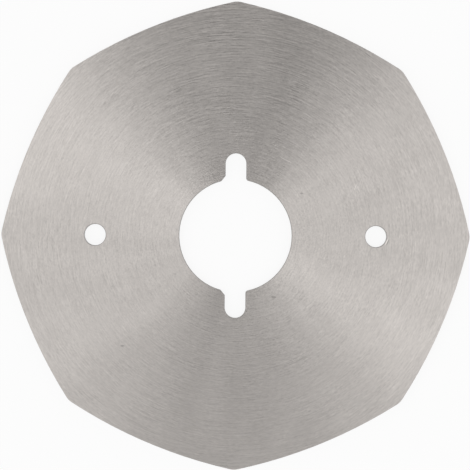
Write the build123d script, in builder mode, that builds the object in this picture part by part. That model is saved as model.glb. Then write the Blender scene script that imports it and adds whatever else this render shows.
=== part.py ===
from build123d import *

import os
from math import cos, pi, sin, sqrt

# Octagonal cutter blade for a hand-held electric cloth cutter, in millimetres.
# One piece of tool steel, ground flat on both faces and bevelled from one side.
# The origin is the centre of the bore on the underside, which the blade lies on.
# +X runs through the two pin holes, +Y through the two key slots and +Z is up,
# out of the plain face. The bevels are on the underside.

# Outline: eight bowed sides that meet in rounded corners, with a corner on +X.
side_count = 8
across_corners = 70.0
side_radius = 73.3
corner_radius = 2.5

# Section: a flat sheet, ground to an edge from below.
thickness = 1.0
bevel_width = 2.6
edge_land = 0.05

# Bore for the drive hub, with a key slot on each side of it. A slot's depth is
# measured from the wall of the bore to the far end of the slot, a full round.
bore_diameter = 16.85
slot_width = 3.1
slot_depth = 3.9

# Where a slot opens into the bore, one corner is cut back to lead the key in and
# the other one is only rounded.
slot_lead_in = 0.65
slot_corner_radius = 0.4

# Two holes for the drive pins.
pin_count = 2
pin_pitch = 42.0
pin_hole_diameter = 3.2

# Every edge of the bore, the slots and the pin holes is broken, on both faces.
edge_break = 0.08

os.makedirs("parts", exist_ok=True)

# Each side is an arc about a centre on the far side of the blade. side_offset puts
# that centre where the arc is tangent to the rounded corners, whose noses touch the
# circle of the across-corners size.
side_step = 2 * pi / side_count
nose_distance = across_corners / 2 - corner_radius
nose_along = nose_distance * cos(side_step / 2)
nose_across = nose_distance * sin(side_step / 2)
side_offset = sqrt((side_radius - corner_radius) ** 2 - nose_across**2) - nose_along


def side_plane(index):
    """Upright plane through one side's arc centre: local X runs out across the middle
    of the side, and local Y is up along the arc's axis."""
    angle = (index + 0.5) * side_step
    return Plane(
        origin=(-side_offset * cos(angle), -side_offset * sin(angle), 0),
        x_dir=(cos(angle), sin(angle), 0),
        z_dir=(sin(angle), -cos(angle), 0),
    )


def mouth_corners(opening, side):
    """Corners of the opening where the slots meet the wall of the bore, on the -X or the
    +X side of the slots."""
    on_bore_wall = opening.vertices().group_by(SortBy.DISTANCE)[0]
    return on_bore_wall.filter_by(
        lambda corner: corner.X * side > 0 and abs(corner.Y) > slot_width / 2
    )


with BuildPart() as blade:
    # The blank: what eight large discs have in common, with its corners rounded.
    with BuildSketch() as outline:
        for side in range(side_count):
            with Locations(side_plane(side).origin):
                Circle(side_radius, mode=Mode.INTERSECT if side else Mode.ADD)
        fillet(outline.vertices(), corner_radius)
    extrude(amount=thickness)

    # Bore and key slots, cut in one go.
    with BuildSketch() as bore_opening:
        Circle(bore_diameter / 2)
        SlotOverall(bore_diameter + 2 * slot_depth, slot_width, rotation=90)
        chamfer(mouth_corners(bore_opening, side=-1), slot_lead_in)
        fillet(mouth_corners(bore_opening, side=1), slot_corner_radius)
    extrude(amount=thickness, mode=Mode.SUBTRACT)

    # Pin holes, in line with the bore.
    with GridLocations(pin_pitch, 0, pin_count, 1):
        Hole(pin_hole_diameter / 2)

    # Broken edges of all the openings, on the plain face and on the underside.
    for face in (blade.faces().sort_by(Axis.Z)[-1], blade.faces().sort_by(Axis.Z)[0]):
        chamfer([edge for wire in face.inner_wires() for edge in wire.edges()], edge_break)

    # Bevels: each side is ground to a cone about its own arc's axis. The wheel's
    # profile is the bevel's line, carried on beyond both of its ends.
    bevel_height = thickness - edge_land
    for side in range(side_count):
        with BuildSketch(side_plane(side)) as wheel:
            Polygon(
                (side_radius - 2 * bevel_width, -bevel_height),
                (side_radius + bevel_width, -bevel_height),
                (side_radius + bevel_width, 2 * bevel_height),
                align=None,
            )
        revolve(axis=Axis(side_plane(side).origin, (0, 0, 1)), mode=Mode.SUBTRACT)

blade.part.label = "blade"
export_step(blade.part, "parts/blade.step")
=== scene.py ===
import math

import bpy
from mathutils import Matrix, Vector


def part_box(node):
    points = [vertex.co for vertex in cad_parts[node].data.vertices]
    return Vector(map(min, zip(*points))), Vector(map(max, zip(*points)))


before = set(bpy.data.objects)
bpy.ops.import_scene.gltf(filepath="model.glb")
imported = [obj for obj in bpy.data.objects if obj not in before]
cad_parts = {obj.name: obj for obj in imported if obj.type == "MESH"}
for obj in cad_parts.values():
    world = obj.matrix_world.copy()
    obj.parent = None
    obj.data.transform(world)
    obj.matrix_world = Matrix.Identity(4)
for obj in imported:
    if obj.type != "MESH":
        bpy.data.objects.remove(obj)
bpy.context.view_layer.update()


# The blade: one piece of hardened tool steel sheet, cut out and then ground flat on both
# sides while it turned, which leaves rings of short fine strokes about the bore. Its
# eight bevels are ground across the edge, from below. The CAD node is shown as it is.

MM = 0.001

# The mean of these two is the steel's own colour. A tone of 0 is the dark one and a tone
# of 1 the light one. The grain, the patches and the rays stay close to EVEN_TONE, and
# only pits, scratches and a painted glint come near the two colours themselves.
STEEL_DARK = "8F8B88"
STEEL_LIGHT = "F8F2ED"
EVEN_TONE = 0.5

# A ground face spreads the light across its strokes, so it has bright and dark lobes
# that turn with the light and the view. ROUGHNESS_CHANGE is how much rougher the steel
# is for a grain of 1.
STEEL_ANISOTROPY = 0.85
FACE_ROUGHNESS = 0.38
BEVEL_ROUGHNESS = 0.30
ROUGHNESS_CHANGE = 0.25

# The walls of the bore, slots and holes and their broken edges aren't ground. They keep
# the dull grey skin that the steel has from the cut and from hardening.
SKIN_COLOUR = "A5A19E"
SKIN_ROUGHNESS = 0.40

# Real grinding strokes are about 0.03 mm wide, too fine to show at the size of the
# picture. They are drawn about 0.2 mm wide, in sets of different lengths. The ring sets
# run in rings about the bore. The crossing sets run about centres of their own, so that
# strokes cross at small angles. Each set is (centre, length along the ring, width across
# it, share), in millimetres. The share says how much of the set goes into the grain, and
# the lengths are those at STROKE_RADIUS. GRAIN_TONE is the change of tone for a grain of 1.
RING_SETS = (
    ((0.0, 0.0), 5.0, 0.22, 0.40),
    ((0.0, 0.0), 1.2, 0.22, 0.34),
)
CROSSING_SETS = (
    ((5.0, -3.5), 0.7, 0.20, 0.34),
    ((-5.5, 5.0), 0.4, 0.20, 0.40),
)
STROKE_RADIUS = 25.0
GRAIN_TONE = 0.68

# On the bevels the strokes run across the edge, so there the width is the long one.
BEVEL_STROKE = (0.20, 3.0)
BEVEL_SHARE = 0.6

# The strokes are as many times too deep as they are too wide, so their flanks are about
# as steep as the real ones. Few are deeper than a fifth of RELIEF_DEPTH. The crossing
# sets are only a change of tone, because their relief would show as speckle.
RELIEF_DEPTH = 0.05

# Each set of strokes starts at its own place in the noise, some of these steps along.
SEED_STEP = 40

# The wheel doesn't press alike all over. That leaves faint broad patches, and smaller
# ones where it bit more or less, in millimetres. The strokes are also stronger towards
# +Y, by this share for each millimetre of Y: in their relief, and in their tone as
# painted shading of light falling across them there.
PATCH_SIZE = 4.5
PATCH_TONE = 0.06
BITE_SIZE = 3.0
BITE_RANGE = (0.75, 1.25)
RELIEF_AND_PAINTED_SHADING_SLOPE = 0.003

# The blade wasn't quite even under the wheel either. That leaves faint rays from the
# bore towards the outline, broad and narrow ones. Each set is (width at STROKE_RADIUS,
# length, share, seed), in millimetres.
RAY_SETS = (
    (11.0, 24.0, 0.14, 11120),
    (4.0, 16.0, 0.12, 9200),
)

# Painted light and shade: a few broad rays at fixed azimuths are a little brighter or
# darker in the steel's colour. They paint the narrow bright and dark features that the
# studio would reflect into the lobes. Each is (azimuth, half width, change of tone),
# with the angles in degrees.
PAINTED_REFLECTION_RAYS = (
    (90, 15, 0.055),
    (118, 14, 0.022),
    (194, 20, -0.038),
    (216, 12, 0.018),
    (356, 11, -0.026),
)

# Nearly all of a noise lies between these.
NOISE_RANGE = (0.3, 0.7)

# Where the upright share of a surface's normal is above the first value, it is a flat
# face, and above the second a bevel. Between the second and the third it is a broken
# edge, and below the third a wall.
FACE_UPRIGHT = 0.99
BEVEL_UPRIGHT = 0.8
WALL_UPRIGHT = 0.3

# Marks on the plain face: (x, y, length, width, turn in degrees, tone), in millimetres
# from the middle of the bore. Pits are dark and scratches light. The last two are a
# painted glint on the raised burr of a nick at the rim of a pin hole, and the painted
# shade beside it.
MARKS_AND_BURR_GLINT = (
    (-16.77, -16.60, 0.64, 0.25, 0, -0.29),
    (5.75, -9.15, 0.80, 0.29, -5, -0.26),
    (-9.06, -5.80, 0.50, 0.27, -10, -0.16),
    (9.85, 6.38, 0.46, 0.25, 0, -0.26),
    (18.29, 7.20, 1.25, 0.13, -66, 0.24),
    (17.88, 7.38, 0.95, 0.13, 71, 0.24),
    (7.51, 11.34, 2.20, 0.14, -28, 0.26),
    (11.0, -10.45, 0.95, 0.15, 42, 0.20),
    # Painted glint on the burr, then painted shade beside it.
    (22.59, -0.81, 0.93, 0.16, 63, 0.46),
    (22.79, -0.80, 0.95, 0.17, 66, -0.30),
)

# A mark fades out between these shares of its half size.
MARK_FADE = (0.5, 1.4)


def linear(hex_colour):
    """An sRGB hex value as the linear colour that a shader takes."""
    channels = [int(hex_colour[i:i + 2], 16) / 255 for i in (0, 2, 4)]
    return [
        c / 12.92 if c <= 0.04045 else ((c + 0.055) / 1.055) ** 2.4 for c in channels
    ] + [1.0]


def add_node(tree, kind, settings=None, inputs=None, links=None):
    """Adds a node to a tree. Settings are its properties, inputs the values of its
    sockets, and links the output sockets that feed its inputs."""
    node = tree.nodes.new(kind)
    for name, value in (settings or {}).items():
        setattr(node, name, value)
    for name, value in (inputs or {}).items():
        node.inputs[name].default_value = value
    for name, source in (links or {}).items():
        tree.links.new(source, node.inputs[name])
    return node


# Rotary ground tool steel: a grey, faintly warm metal whose fine rings of strokes draw
# the light out into lobes from the bore to the outline.
ground_steel = bpy.data.materials.new("rotary_ground_tool_steel")
ground_steel.use_nodes = True
steel = ground_steel.node_tree
steel.nodes.clear()

place = add_node(steel, "ShaderNodeTexCoord")
in_mm = add_node(
    steel, "ShaderNodeVectorMath", {"operation": "SCALE"}, {"Scale": 1 / MM},
    {0: place.outputs["Object"]},
).outputs["Vector"]
in_plane = add_node(
    steel, "ShaderNodeVectorMath", {"operation": "MULTIPLY"}, {1: (1, 1, 0)}, {0: in_mm}
).outputs["Vector"]
outward = add_node(
    steel, "ShaderNodeVectorMath", {"operation": "NORMALIZE"}, links={0: in_plane}
).outputs["Vector"]


def strokes(centre, length, width, seed):
    """Strokes along the rings about a centre, as a noise about 0.5. They have the given
    length at STROKE_RADIUS. The length, the width and the centre are in millimetres."""
    from_centre = add_node(
        steel, "ShaderNodeVectorMath", {"operation": "SUBTRACT"}, {1: (*centre, 0)}, {0: in_plane}
    ).outputs["Vector"]
    ring = add_node(
        steel, "ShaderNodeVectorMath", {"operation": "LENGTH"}, links={0: from_centre}
    ).outputs["Value"]
    heading = add_node(
        steel, "ShaderNodeVectorMath", {"operation": "NORMALIZE"}, links={0: from_centre}
    ).outputs["Vector"]
    along = add_node(
        steel, "ShaderNodeVectorMath", {"operation": "SCALE"}, {"Scale": STROKE_RADIUS / length},
        {0: heading},
    ).outputs["Vector"]
    across = add_node(
        steel, "ShaderNodeMath", {"operation": "MULTIPLY_ADD"}, {1: 1 / width, 2: seed}, {0: ring}
    ).outputs[0]
    lift = add_node(steel, "ShaderNodeCombineXYZ", links={"Z": across}).outputs["Vector"]
    on_ring = add_node(
        steel, "ShaderNodeVectorMath", {"operation": "ADD"}, links={0: along, 1: lift}
    ).outputs["Vector"]
    return add_node(
        steel, "ShaderNodeTexNoise", inputs={"Scale": 1, "Detail": 1, "Roughness": 0.5},
        links={"Vector": on_ring},
    ).outputs["Fac"]


def sum_of(tree, sockets):
    """The sum of several numbers."""
    total = sockets[0]
    for socket in sockets[1:]:
        total = add_node(
            tree, "ShaderNodeMath", {"operation": "ADD"}, links={0: total, 1: socket}
        ).outputs[0]
    return total


def about_zero(socket, share):
    """A noise about 0.5, turned into a change about 0 and multiplied by a share."""
    return add_node(
        steel, "ShaderNodeMath", {"operation": "MULTIPLY_ADD"},
        {1: share, 2: -0.5 * share}, {0: socket},
    ).outputs[0]


# The flat faces have the rings. The bevels have strokes across the edge from the wheel,
# and the walls have them from the cut, and both spread the light along the edge. The
# broken edges have strokes along the edge, which spread the light across it.
normal = place.outputs["Normal"]
normal_z = add_node(steel, "ShaderNodeSeparateXYZ", links={"Vector": normal}).outputs["Z"]
upright = add_node(
    steel, "ShaderNodeMath", {"operation": "ABSOLUTE"}, links={0: normal_z}
).outputs[0]
is_face = add_node(
    steel, "ShaderNodeMath", {"operation": "GREATER_THAN"}, {1: FACE_UPRIGHT}, {0: upright}
).outputs[0]
is_skin = add_node(
    steel, "ShaderNodeMath", {"operation": "LESS_THAN"}, {1: BEVEL_UPRIGHT}, {0: upright}
).outputs[0]
is_wall = add_node(
    steel, "ShaderNodeMath", {"operation": "LESS_THAN"}, {1: WALL_UPRIGHT}, {0: upright}
).outputs[0]
is_broken_edge = add_node(
    steel, "ShaderNodeMath", {"operation": "SUBTRACT"}, links={0: is_skin, 1: is_wall}
).outputs[0]
level_along = add_node(
    steel, "ShaderNodeVectorMath", {"operation": "CROSS_PRODUCT"}, {0: (0, 0, 1)}, {1: normal}
).outputs["Vector"]
along_edge = add_node(
    steel, "ShaderNodeVectorMath", {"operation": "NORMALIZE"}, links={0: level_along}
).outputs["Vector"]
across_edge = add_node(
    steel, "ShaderNodeVectorMath", {"operation": "CROSS_PRODUCT"}, links={0: normal, 1: along_edge}
).outputs["Vector"]
beside_face = add_node(
    steel, "ShaderNodeMix", {"data_type": "VECTOR"},
    links={"Factor": is_broken_edge, 4: along_edge, 5: across_edge},
).outputs[1]
spread = add_node(
    steel, "ShaderNodeMix", {"data_type": "VECTOR"},
    links={"Factor": is_face, 4: beside_face, 5: outward},
).outputs[1]
world_spread = add_node(
    steel, "ShaderNodeVectorTransform",
    {"vector_type": "VECTOR", "convert_from": "OBJECT", "convert_to": "WORLD"},
    links={"Vector": spread},
).outputs["Vector"]

set_grains = [
    about_zero(strokes(centre, length, width, SEED_STEP * index), share)
    for index, (centre, length, width, share) in enumerate(RING_SETS + CROSSING_SETS)
]
ring_grain = sum_of(steel, set_grains[:len(RING_SETS)])
crossing_grain = sum_of(steel, set_grains[len(RING_SETS):])
bevel_seed = SEED_STEP * (len(set_grains) + 1)
bevel_grain = about_zero(strokes((0, 0), *BEVEL_STROKE, bevel_seed), BEVEL_SHARE)
bite_place = add_node(
    steel, "ShaderNodeTexNoise", inputs={"Scale": 1 / BITE_SIZE, "Detail": 1},
    links={"Vector": in_mm},
).outputs["Fac"]
bite = add_node(
    steel, "ShaderNodeMapRange",
    inputs={
        "From Min": NOISE_RANGE[0], "From Max": NOISE_RANGE[1],
        "To Min": BITE_RANGE[0], "To Max": BITE_RANGE[1],
    },
    links={"Value": bite_place},
).outputs["Result"]
# Stronger strokes towards +Y: more relief, and in the tone painted shading of light across the
# strokes.
y_in_mm = add_node(steel, "ShaderNodeSeparateXYZ", links={"Vector": in_mm}).outputs["Y"]
bite_and_painted_shading = add_node(
    steel, "ShaderNodeMath", {"operation": "MULTIPLY_ADD"}, {1: RELIEF_AND_PAINTED_SHADING_SLOPE}, {0: y_in_mm, 2: bite}
).outputs[0]
face_relief = add_node(
    steel, "ShaderNodeMath", {"operation": "MULTIPLY"}, links={0: ring_grain, 1: bite_and_painted_shading}
).outputs[0]
face_grain = add_node(
    steel, "ShaderNodeMath", {"operation": "MULTIPLY_ADD"},
    links={0: crossing_grain, 1: bite_and_painted_shading, 2: face_relief},
).outputs[0]
relief = add_node(
    steel, "ShaderNodeMix", {"data_type": "FLOAT"},
    links={"Factor": is_face, 2: bevel_grain, 3: face_relief},
).outputs[0]
grain = add_node(
    steel, "ShaderNodeMix", {"data_type": "FLOAT"},
    links={"Factor": is_face, 2: bevel_grain, 3: face_grain},
).outputs[0]

patches = add_node(
    steel, "ShaderNodeTexNoise", inputs={"Scale": 1 / PATCH_SIZE, "Detail": 1},
    links={"Vector": in_mm},
).outputs["Fac"]


def wedge(tree, heading, azimuth, half_width, full_width, change):
    """A change that is full within full_width of an azimuth, and fades out towards
    half_width. The heading is a level direction, and the angles are in degrees."""
    middle_line = (math.cos(math.radians(azimuth)), math.sin(math.radians(azimuth)), 0)
    nearness = add_node(
        tree, "ShaderNodeVectorMath", {"operation": "DOT_PRODUCT"}, {1: middle_line}, {0: heading}
    ).outputs["Value"]
    return add_node(
        tree, "ShaderNodeMapRange", {"interpolation_type": "SMOOTHSTEP"},
        {
            "From Min": math.cos(math.radians(half_width)),
            "From Max": math.cos(math.radians(full_width)),
            "To Max": change,
        },
        {"Value": nearness},
    ).outputs["Result"]


# The faint rays are the strokes' noise, stretched outwards instead of along the rings.
faint_rays = [
    about_zero(strokes((0, 0), width, length, seed), share)
    for width, length, share, seed in RAY_SETS
]
# Painted reflection: broad rays of painted light and shade at fixed azimuths.
painted_reflection_rays = [
    wedge(steel, outward, azimuth, half_width, 0, tone)
    for azimuth, half_width, tone in PAINTED_REFLECTION_RAYS
]

# Each mark is a change of tone. The pin hole's burr is a painted glint and painted shade.
marks_and_burr_glint = []
for x, y, length, width, turn, tone in MARKS_AND_BURR_GLINT:
    on_mark = add_node(
        steel, "ShaderNodeMapping", {"vector_type": "TEXTURE"},
        {
            "Location": (x, y, 0),
            "Rotation": (0, 0, math.radians(turn)),
            "Scale": (length / 2, width / 2, 1),
        },
        {"Vector": in_plane},
    ).outputs["Vector"]
    reach = add_node(
        steel, "ShaderNodeVectorMath", {"operation": "LENGTH"}, links={0: on_mark}
    ).outputs["Value"]
    marks_and_burr_glint.append(add_node(
        steel, "ShaderNodeMapRange", {"interpolation_type": "SMOOTHSTEP"},
        {"From Min": MARK_FADE[0], "From Max": MARK_FADE[1], "To Min": tone, "To Max": 0},
        {"Value": reach},
    ).outputs["Result"])
on_top = add_node(
    steel, "ShaderNodeMath", {"operation": "GREATER_THAN"}, {1: WALL_UPRIGHT}, {0: normal_z}
).outputs[0]
marks_and_burr_glint_on_top = add_node(
    steel, "ShaderNodeMath", {"operation": "MULTIPLY"}, links={0: sum_of(steel, marks_and_burr_glint), 1: on_top}
).outputs[0]

# The tone also holds painted light and shade: the painted reflection rays, the burr's glint and
# its shade, and the grain's painted shading towards +Y.
grain_tone = add_node(
    steel, "ShaderNodeMath", {"operation": "MULTIPLY"}, {1: GRAIN_TONE}, {0: grain}
).outputs[0]
patch_tone = about_zero(patches, PATCH_TONE)
tone_change = sum_of(steel, [grain_tone, patch_tone, *faint_rays, *painted_reflection_rays, marks_and_burr_glint_on_top])
steel_tone = add_node(
    steel, "ShaderNodeMath", {"operation": "ADD"}, {1: EVEN_TONE}, {0: tone_change}
).outputs[0]
ground_colour = add_node(
    steel, "ShaderNodeMix", {"data_type": "RGBA"},
    {6: linear(STEEL_DARK), 7: linear(STEEL_LIGHT)}, {"Factor": steel_tone},
).outputs[2]
colour = add_node(
    steel, "ShaderNodeMix", {"data_type": "RGBA"}, {7: linear(SKIN_COLOUR)},
    {"Factor": is_skin, 6: ground_colour},
).outputs[2]

ground_roughness = add_node(
    steel, "ShaderNodeMix", {"data_type": "FLOAT"}, {2: BEVEL_ROUGHNESS, 3: FACE_ROUGHNESS},
    {"Factor": is_face},
).outputs[0]
base_roughness = add_node(
    steel, "ShaderNodeMix", {"data_type": "FLOAT"}, {3: SKIN_ROUGHNESS},
    {"Factor": is_skin, 2: ground_roughness},
).outputs[0]
roughness = add_node(
    steel, "ShaderNodeMath", {"operation": "MULTIPLY_ADD"}, {1: ROUGHNESS_CHANGE},
    {0: grain, 2: base_roughness},
).outputs[0]
tilted = add_node(
    steel, "ShaderNodeBump", inputs={"Strength": 1, "Distance": RELIEF_DEPTH * MM},
    links={"Height": relief},
).outputs["Normal"]

shader = add_node(
    steel, "ShaderNodeBsdfPrincipled",
    inputs={"Metallic": 1.0, "Anisotropic": STEEL_ANISOTROPY},
    links={
        "Base Color": colour, "Roughness": roughness, "Normal": tilted, "Tangent": world_spread,
    },
)
add_node(steel, "ShaderNodeOutputMaterial", links={"Surface": shader.outputs["BSDF"]})

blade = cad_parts["blade"]
blade.material_slots[0].material = ground_steel


# The floor: a plain white sheet that the blade lies on. It glows for whatever sees it
# straight or mirrored, so that it is white in the picture and still takes the shadow.

FLOOR_SIZE = 10.0
FLOOR_COLOUR = "FCFCFC"
FLOOR_GLOW = 0.88

bpy.ops.mesh.primitive_plane_add(size=FLOOR_SIZE)
floor = bpy.context.object
floor.name = "floor"

# White paper: matt and even, so that only the shadow shows on it.
white_paper = bpy.data.materials.new("white_paper")
white_paper.use_nodes = True
paper = white_paper.node_tree
paper.nodes.clear()
matt = add_node(paper, "ShaderNodeBsdfDiffuse", inputs={"Color": linear(FLOOR_COLOUR)})
glow = add_node(paper, "ShaderNodeEmission", inputs={"Strength": 1.0})
seen_by = add_node(paper, "ShaderNodeLightPath")
seen = seen_by.outputs["Is Camera Ray"]
for ray in ("Is Glossy Ray", "Is Transmission Ray"):
    seen = add_node(
        paper, "ShaderNodeMath", {"operation": "MAXIMUM"}, links={0: seen, 1: seen_by.outputs[ray]}
    ).outputs[0]
glow_share = add_node(
    paper, "ShaderNodeMath", {"operation": "MULTIPLY"}, {1: FLOOR_GLOW}, {0: seen}
).outputs[0]
lit_paper = add_node(
    paper, "ShaderNodeMixShader",
    links={0: glow_share, 1: matt.outputs["BSDF"], 2: glow.outputs["Emission"]},
)
add_node(paper, "ShaderNodeOutputMaterial", links={"Surface": lit_paper.outputs["Shader"]})
floor.data.materials.append(white_paper)


# The light: a white studio, as bright all round as a colour needs to render as written.
# Beyond the top of the picture it is open and dark above the horizon, below the picture
# it is a little dimmer, and a lamp stands past the top left corner.

STUDIO_BRIGHTNESS = 1.0

# Each part is (azimuth, half width, half width at full strength, change of brightness),
# with the angles in degrees.
STUDIO_PARTS = (
    (90, 50, 30, -1.0),
    (274, 45, 27, -0.28),
    (140, 26, 2, 0.48),
)

# The parts fade in between these heights above the horizon, in degrees, and they fade
# out where a direction leans less than ZENITH_LEAN out of the upright.
HORIZON_BAND = (8, 45)
ZENITH_LEAN = 0.23

world = bpy.data.worlds.new("studio")
world.use_nodes = True
sky = world.node_tree
sky.nodes.clear()
direction = add_node(sky, "ShaderNodeTexCoord").outputs["Generated"]
level_direction = add_node(
    sky, "ShaderNodeVectorMath", {"operation": "MULTIPLY"}, {1: (1, 1, 0)}, {0: direction}
).outputs["Vector"]
compass = add_node(
    sky, "ShaderNodeVectorMath", {"operation": "NORMALIZE"}, links={0: level_direction}
).outputs["Vector"]
lean = add_node(
    sky, "ShaderNodeVectorMath", {"operation": "LENGTH"}, links={0: level_direction}
).outputs["Value"]
height = add_node(sky, "ShaderNodeSeparateXYZ", links={"Vector": direction}).outputs["Z"]
above_horizon = add_node(
    sky, "ShaderNodeMapRange", {"interpolation_type": "SMOOTHSTEP"},
    {
        "From Min": math.sin(math.radians(HORIZON_BAND[0])),
        "From Max": math.sin(math.radians(HORIZON_BAND[1])),
    },
    {"Value": height},
).outputs["Result"]
off_zenith = add_node(
    sky, "ShaderNodeMapRange", {"interpolation_type": "SMOOTHSTEP"},
    {"From Min": 0, "From Max": ZENITH_LEAN}, {"Value": lean},
).outputs["Result"]
in_band = add_node(
    sky, "ShaderNodeMath", {"operation": "MULTIPLY"}, links={0: above_horizon, 1: off_zenith}
).outputs[0]
parts = [wedge(sky, compass, *part) for part in STUDIO_PARTS]
brightness = add_node(
    sky, "ShaderNodeMath", {"operation": "MULTIPLY_ADD"}, {2: STUDIO_BRIGHTNESS},
    {0: sum_of(sky, parts), 1: in_band},
).outputs[0]
background = add_node(
    sky, "ShaderNodeBackground", inputs={"Color": (1, 1, 1, 1)}, links={"Strength": brightness}
)
add_node(sky, "ShaderNodeOutputWorld", links={"Surface": background.outputs["Background"]})
bpy.context.scene.world = world


# The camera: straight above the blade, with a long lens. The blade's centre is given in
# pixels of the picture, and its turn in degrees.

LENS = 110
SENSOR = 36
PICTURE_WIDTH = 470
PIXELS_PER_MM = 6.689
BLADE_CENTRE = (235.0, 235.1)
BLADE_TURN = 0.42

middle = (PICTURE_WIDTH - 1) / 2
field = PICTURE_WIDTH / PIXELS_PER_MM * MM
offset_x = -(BLADE_CENTRE[0] - middle) / PIXELS_PER_MM * MM
offset_y = (BLADE_CENTRE[1] - middle) / PIXELS_PER_MM * MM
camera_data = bpy.data.cameras.new("camera")
camera_data.lens = LENS
camera_data.sensor_width = SENSOR
camera = bpy.data.objects.new("camera", camera_data)
camera.location = (offset_x, offset_y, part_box("blade")[1].z + field * LENS / SENSOR)
camera.rotation_euler = (0, 0, math.radians(BLADE_TURN))
bpy.context.scene.collection.objects.link(camera)
bpy.context.scene.camera = camera
bpy.context.scene.view_settings.view_transform = "Standard"
